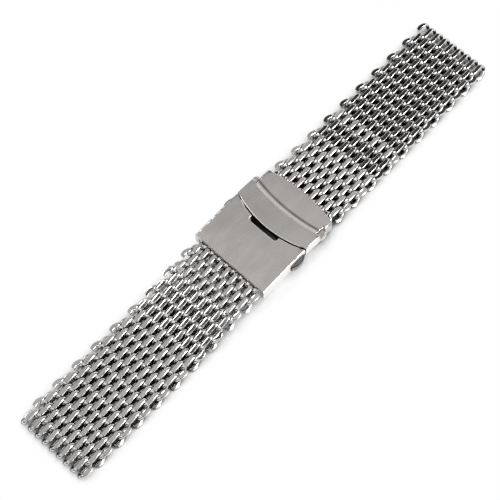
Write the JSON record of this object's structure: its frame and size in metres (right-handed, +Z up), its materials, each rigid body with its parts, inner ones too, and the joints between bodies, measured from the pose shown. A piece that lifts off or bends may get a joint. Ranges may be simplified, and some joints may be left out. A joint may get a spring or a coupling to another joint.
{
  "type": "watch strap",
  "caption": "Steel mesh watch strap of interlinked wire coils, joined by a folding clasp with a safety flap and side push buttons.",
  "frame": {"origin": "on the table, under the middle of the strap as it lies closed and stretched out", "axes": "+X along the strap from the half that hangs from the cover to the half that hangs from the hood, +Y across it, +Z up through the clasp's outer face"},
  "size_m": [0.1546, 0.0254, 0.0076],
  "materials": {
    "mesh_wire": "drawn wire, ground flat and satin on the outer faces",
    "cover_steel": "fine satin brushing along the strap, polished edges",
    "flap_steel": "fine satin brushing along the strap, polished edges",
    "hood_steel": "fine satin brushing, rolled edges",
    "blade_steel": "satin",
    "housing_steel": "satin",
    "button_steel": "brushed across the strap",
    "pin_steel": "turned and polished",
    "bar_steel": "turned",
    "spring_steel": "drawn spring wire"
  },
  "bodies": {
    "clasp_base": {"bottom_blade": "blade_steel", "blade_hinge_pin": "pin_steel", "button_housing": "housing_steel", "housing_rivets": "pin_steel", "strap_end_hood": "hood_steel", "hood_rivets": "pin_steel", "flap_hinge_pin": "pin_steel", "hood_spring_bar": "bar_steel", "hood_bar_tips": "bar_steel", "button_spring_left": "spring_steel", "button_spring_right": "spring_steel"},
    "middle_blade": {"middle_blade": "blade_steel"},
    "cover": {"cover_plate": "cover_steel", "cover_hinge_pin": "pin_steel", "cover_spring_bar": "bar_steel", "cover_bar_tips": "bar_steel"},
    "flap": {"safety_flap": "flap_steel"},
    "button_left": {"push_button_left": "button_steel"},
    "button_right": {"push_button_right": "button_steel"},
    "lower_row_01": {"lower_row_01": "mesh_wire"},
    "lower_row_02": {"lower_row_02": "mesh_wire"},
    "lower_row_03": {"lower_row_03": "mesh_wire"},
    "lower_row_04": {"lower_row_04": "mesh_wire"},
    "lower_row_05": {"lower_row_05": "mesh_wire"},
    "lower_row_06": {"lower_row_06": "mesh_wire"},
    "lower_row_07": {"lower_row_07": "mesh_wire"},
    "lower_row_08": {"lower_row_08": "mesh_wire"},
    "lower_row_09": {"lower_row_09": "mesh_wire"},
    "lower_row_10": {"lower_row_10": "mesh_wire"},
    "lower_row_11": {"lower_row_11": "mesh_wire"},
    "lower_row_12": {"lower_row_12": "mesh_wire"},
    "lower_row_13": {"lower_row_13": "mesh_wire"},
    "lower_row_14": {"lower_row_14": "mesh_wire"},
    "lower_row_15": {"lower_row_15": "mesh_wire"},
    "lower_row_16": {"lower_row_16": "mesh_wire"},
    "lower_row_17": {"lower_row_17": "mesh_wire"},
    "lower_row_18": {"lower_row_18": "mesh_wire"},
    "lower_row_19": {"lower_row_19": "mesh_wire"},
    "lower_row_20": {"lower_row_20": "mesh_wire"},
    "upper_row_01": {"upper_row_01": "mesh_wire"},
    "upper_row_02": {"upper_row_02": "mesh_wire"},
    "upper_row_03": {"upper_row_03": "mesh_wire"},
    "upper_row_04": {"upper_row_04": "mesh_wire"},
    "upper_row_05": {"upper_row_05": "mesh_wire"},
    "upper_row_06": {"upper_row_06": "mesh_wire"},
    "upper_row_07": {"upper_row_07": "mesh_wire"},
    "upper_row_08": {"upper_row_08": "mesh_wire"},
    "upper_row_09": {"upper_row_09": "mesh_wire"},
    "upper_row_10": {"upper_row_10": "mesh_wire"},
    "upper_row_11": {"upper_row_11": "mesh_wire"},
    "upper_row_12": {"upper_row_12": "mesh_wire"},
    "upper_row_13": {"upper_row_13": "mesh_wire"},
    "upper_row_14": {"upper_row_14": "mesh_wire"},
    "upper_row_15": {"upper_row_15": "mesh_wire"},
    "upper_row_16": {"upper_row_16": "mesh_wire"},
    "upper_row_17": {"upper_row_17": "mesh_wire"},
    "upper_row_18": {"upper_row_18": "mesh_wire"},
    "upper_row_19": {"upper_row_19": "mesh_wire"},
    "upper_row_20": {"upper_row_20": "mesh_wire"}
  },
  "joints": [
    {"name": "blade_hinge", "type": "hinge", "parent": "clasp_base", "child": "middle_blade", "pos_m": [-0.02116, 0, 0.00125], "axis": [0, -1, 0], "range_deg": [0, 150]},
    {"name": "cover_hinge", "type": "hinge", "parent": "middle_blade", "child": "cover", "pos_m": [-0.00376, 0, 0.0036], "axis": [0, -1, 0], "range_deg": [-150, 0]},
    {"name": "flap_hinge", "type": "hinge", "parent": "clasp_base", "child": "flap", "pos_m": [0.00814, 0, 0.0045], "axis": [0, 1, 0], "range_deg": [0, 85]},
    {"name": "push_button_left_press", "type": "slide", "parent": "clasp_base", "child": "button_left", "axis": [0, -1, 0], "range_m": [0, 0.0008], "stiffness_N_per_m": 500, "springref_m": -0.0006, "deforming": ["button_spring_left"]},
    {"name": "push_button_right_press", "type": "slide", "parent": "clasp_base", "child": "button_right", "axis": [0, 1, 0], "range_m": [0, 0.0008], "stiffness_N_per_m": 500, "springref_m": -0.0006, "deforming": ["button_spring_right"]},
    {"name": "lower_hinge_01", "type": "hinge", "parent": "cover", "child": "lower_row_01", "pos_m": [-0.01156, 0, 0.0043], "axis": [0, -1, 0], "range_deg": [-3.5, 2.3]},
    {"name": "lower_hinge_02", "type": "hinge", "parent": "lower_row_01", "child": "lower_row_02", "pos_m": [-0.0144, 0, 0.0043], "axis": [0, -1, 0], "range_deg": [-14, 3.3]},
    {"name": "lower_hinge_03", "type": "hinge", "parent": "lower_row_02", "child": "lower_row_03", "pos_m": [-0.01766, 0, 0.0043], "axis": [0, -1, 0], "range_deg": [-14, 6.2]},
    {"name": "lower_hinge_04", "type": "hinge", "parent": "lower_row_03", "child": "lower_row_04", "pos_m": [-0.02092, 0, 0.0043], "axis": [0, -1, 0], "range_deg": [-16.7, 11.3]},
    {"name": "lower_hinge_05", "type": "hinge", "parent": "lower_row_04", "child": "lower_row_05", "pos_m": [-0.02417, 0, 0.00415], "axis": [0, -1, 0], "range_deg": [-20.1, 7.9]},
    {"name": "lower_hinge_06", "type": "hinge", "parent": "lower_row_05", "child": "lower_row_06", "pos_m": [-0.02739, 0, 0.00364], "axis": [0, -1, 0], "range_deg": [-18.9, 9.1]},
    {"name": "lower_hinge_07", "type": "hinge", "parent": "lower_row_06", "child": "lower_row_07", "pos_m": [-0.03056, 0, 0.00286], "axis": [0, -1, 0], "range_deg": [-14, 14]},
    {"name": "lower_hinge_08", "type": "hinge", "parent": "lower_row_07", "child": "lower_row_08", "pos_m": [-0.03373, 0, 0.00208], "axis": [0, -1, 0], "range_deg": [-9.1, 18.9]},
    {"name": "lower_hinge_09", "type": "hinge", "parent": "lower_row_08", "child": "lower_row_09", "pos_m": [-0.03695, 0, 0.00158], "axis": [0, -1, 0], "range_deg": [-7.9, 20.1]},
    {"name": "lower_hinge_10", "type": "hinge", "parent": "lower_row_09", "child": "lower_row_10", "pos_m": [-0.0402, 0, 0.00143], "axis": [0, -1, 0], "range_deg": [-11.3, 16.7]},
    {"name": "lower_hinge_11", "type": "hinge", "parent": "lower_row_10", "child": "lower_row_11", "pos_m": [-0.04346, 0, 0.00143], "axis": [0, -1, 0], "range_deg": [-14, 14]},
    {"name": "lower_hinge_12", "type": "hinge", "parent": "lower_row_11", "child": "lower_row_12", "pos_m": [-0.04672, 0, 0.00143], "axis": [0, -1, 0], "range_deg": [-14, 14]},
    {"name": "lower_hinge_13", "type": "hinge", "parent": "lower_row_12", "child": "lower_row_13", "pos_m": [-0.04998, 0, 0.00143], "axis": [0, -1, 0], "range_deg": [-14, 14]},
    {"name": "lower_hinge_14", "type": "hinge", "parent": "lower_row_13", "child": "lower_row_14", "pos_m": [-0.05324, 0, 0.00143], "axis": [0, -1, 0], "range_deg": [-14, 14]},
    {"name": "lower_hinge_15", "type": "hinge", "parent": "lower_row_14", "child": "lower_row_15", "pos_m": [-0.0565, 0, 0.00143], "axis": [0, -1, 0], "range_deg": [-14, 14]},
    {"name": "lower_hinge_16", "type": "hinge", "parent": "lower_row_15", "child": "lower_row_16", "pos_m": [-0.05976, 0, 0.00143], "axis": [0, -1, 0], "range_deg": [-14, 14]},
    {"name": "lower_hinge_17", "type": "hinge", "parent": "lower_row_16", "child": "lower_row_17", "pos_m": [-0.06302, 0, 0.00143], "axis": [0, -1, 0], "range_deg": [-14, 14]},
    {"name": "lower_hinge_18", "type": "hinge", "parent": "lower_row_17", "child": "lower_row_18", "pos_m": [-0.06628, 0, 0.00143], "axis": [0, -1, 0], "range_deg": [-14, 14]},
    {"name": "lower_hinge_19", "type": "hinge", "parent": "lower_row_18", "child": "lower_row_19", "pos_m": [-0.06954, 0, 0.00143], "axis": [0, -1, 0], "range_deg": [-14, 14]},
    {"name": "lower_hinge_20", "type": "hinge", "parent": "lower_row_19", "child": "lower_row_20", "pos_m": [-0.0728, 0, 0.00143], "axis": [0, -1, 0], "range_deg": [-14, 14]},
    {"name": "upper_hinge_01", "type": "hinge", "parent": "clasp_base", "child": "upper_row_01", "pos_m": [0.01134, 0, 0.00265], "axis": [0, -1, 0], "range_deg": [-12, 4.5]},
    {"name": "upper_hinge_02", "type": "hinge", "parent": "upper_row_01", "child": "upper_row_02", "pos_m": [0.01418, 0, 0.00256], "axis": [0, -1, 0], "range_deg": [-10.4, 17.6]},
    {"name": "upper_hinge_03", "type": "hinge", "parent": "upper_row_02", "child": "upper_row_03", "pos_m": [0.01743, 0, 0.00225], "axis": [0, -1, 0], "range_deg": [-12.2, 15.8]},
    {"name": "upper_hinge_04", "type": "hinge", "parent": "upper_row_03", "child": "upper_row_04", "pos_m": [0.02066, 0, 0.00184], "axis": [0, -1, 0], "range_deg": [-15.8, 12.2]},
    {"name": "upper_hinge_05", "type": "hinge", "parent": "upper_row_04", "child": "upper_row_05", "pos_m": [0.0239, 0, 0.00153], "axis": [0, -1, 0], "range_deg": [-17.6, 10.4]},
    {"name": "upper_hinge_06", "type": "hinge", "parent": "upper_row_05", "child": "upper_row_06", "pos_m": [0.02716, 0, 0.00143], "axis": [0, -1, 0], "range_deg": [-15.8, 12.2]},
    {"name": "upper_hinge_07", "type": "hinge", "parent": "upper_row_06", "child": "upper_row_07", "pos_m": [0.03042, 0, 0.00143], "axis": [0, -1, 0], "range_deg": [-14, 14]},
    {"name": "upper_hinge_08", "type": "hinge", "parent": "upper_row_07", "child": "upper_row_08", "pos_m": [0.03368, 0, 0.00143], "axis": [0, -1, 0], "range_deg": [-14, 14]},
    {"name": "upper_hinge_09", "type": "hinge", "parent": "upper_row_08", "child": "upper_row_09", "pos_m": [0.03694, 0, 0.00143], "axis": [0, -1, 0], "range_deg": [-14, 14]},
    {"name": "upper_hinge_10", "type": "hinge", "parent": "upper_row_09", "child": "upper_row_10", "pos_m": [0.0402, 0, 0.00143], "axis": [0, -1, 0], "range_deg": [-14, 14]},
    {"name": "upper_hinge_11", "type": "hinge", "parent": "upper_row_10", "child": "upper_row_11", "pos_m": [0.04346, 0, 0.00143], "axis": [0, -1, 0], "range_deg": [-14, 14]},
    {"name": "upper_hinge_12", "type": "hinge", "parent": "upper_row_11", "child": "upper_row_12", "pos_m": [0.04672, 0, 0.00143], "axis": [0, -1, 0], "range_deg": [-14, 14]},
    {"name": "upper_hinge_13", "type": "hinge", "parent": "upper_row_12", "child": "upper_row_13", "pos_m": [0.04998, 0, 0.00143], "axis": [0, -1, 0], "range_deg": [-14, 14]},
    {"name": "upper_hinge_14", "type": "hinge", "parent": "upper_row_13", "child": "upper_row_14", "pos_m": [0.05324, 0, 0.00143], "axis": [0, -1, 0], "range_deg": [-14, 14]},
    {"name": "upper_hinge_15", "type": "hinge", "parent": "upper_row_14", "child": "upper_row_15", "pos_m": [0.0565, 0, 0.00143], "axis": [0, -1, 0], "range_deg": [-14, 14]},
    {"name": "upper_hinge_16", "type": "hinge", "parent": "upper_row_15", "child": "upper_row_16", "pos_m": [0.05976, 0, 0.00143], "axis": [0, -1, 0], "range_deg": [-14, 14]},
    {"name": "upper_hinge_17", "type": "hinge", "parent": "upper_row_16", "child": "upper_row_17", "pos_m": [0.06302, 0, 0.00143], "axis": [0, -1, 0], "range_deg": [-14, 14]},
    {"name": "upper_hinge_18", "type": "hinge", "parent": "upper_row_17", "child": "upper_row_18", "pos_m": [0.06628, 0, 0.00143], "axis": [0, -1, 0], "range_deg": [-14, 14]},
    {"name": "upper_hinge_19", "type": "hinge", "parent": "upper_row_18", "child": "upper_row_19", "pos_m": [0.06954, 0, 0.00143], "axis": [0, -1, 0], "range_deg": [-14, 14]},
    {"name": "upper_hinge_20", "type": "hinge", "parent": "upper_row_19", "child": "upper_row_20", "pos_m": [0.0728, 0, 0.00143], "axis": [0, -1, 0], "range_deg": [-14, 14]}
  ],
  "couplings": [
    {"joint": "cover_hinge", "follows": "blade_hinge", "ratio": -1}
  ]
}
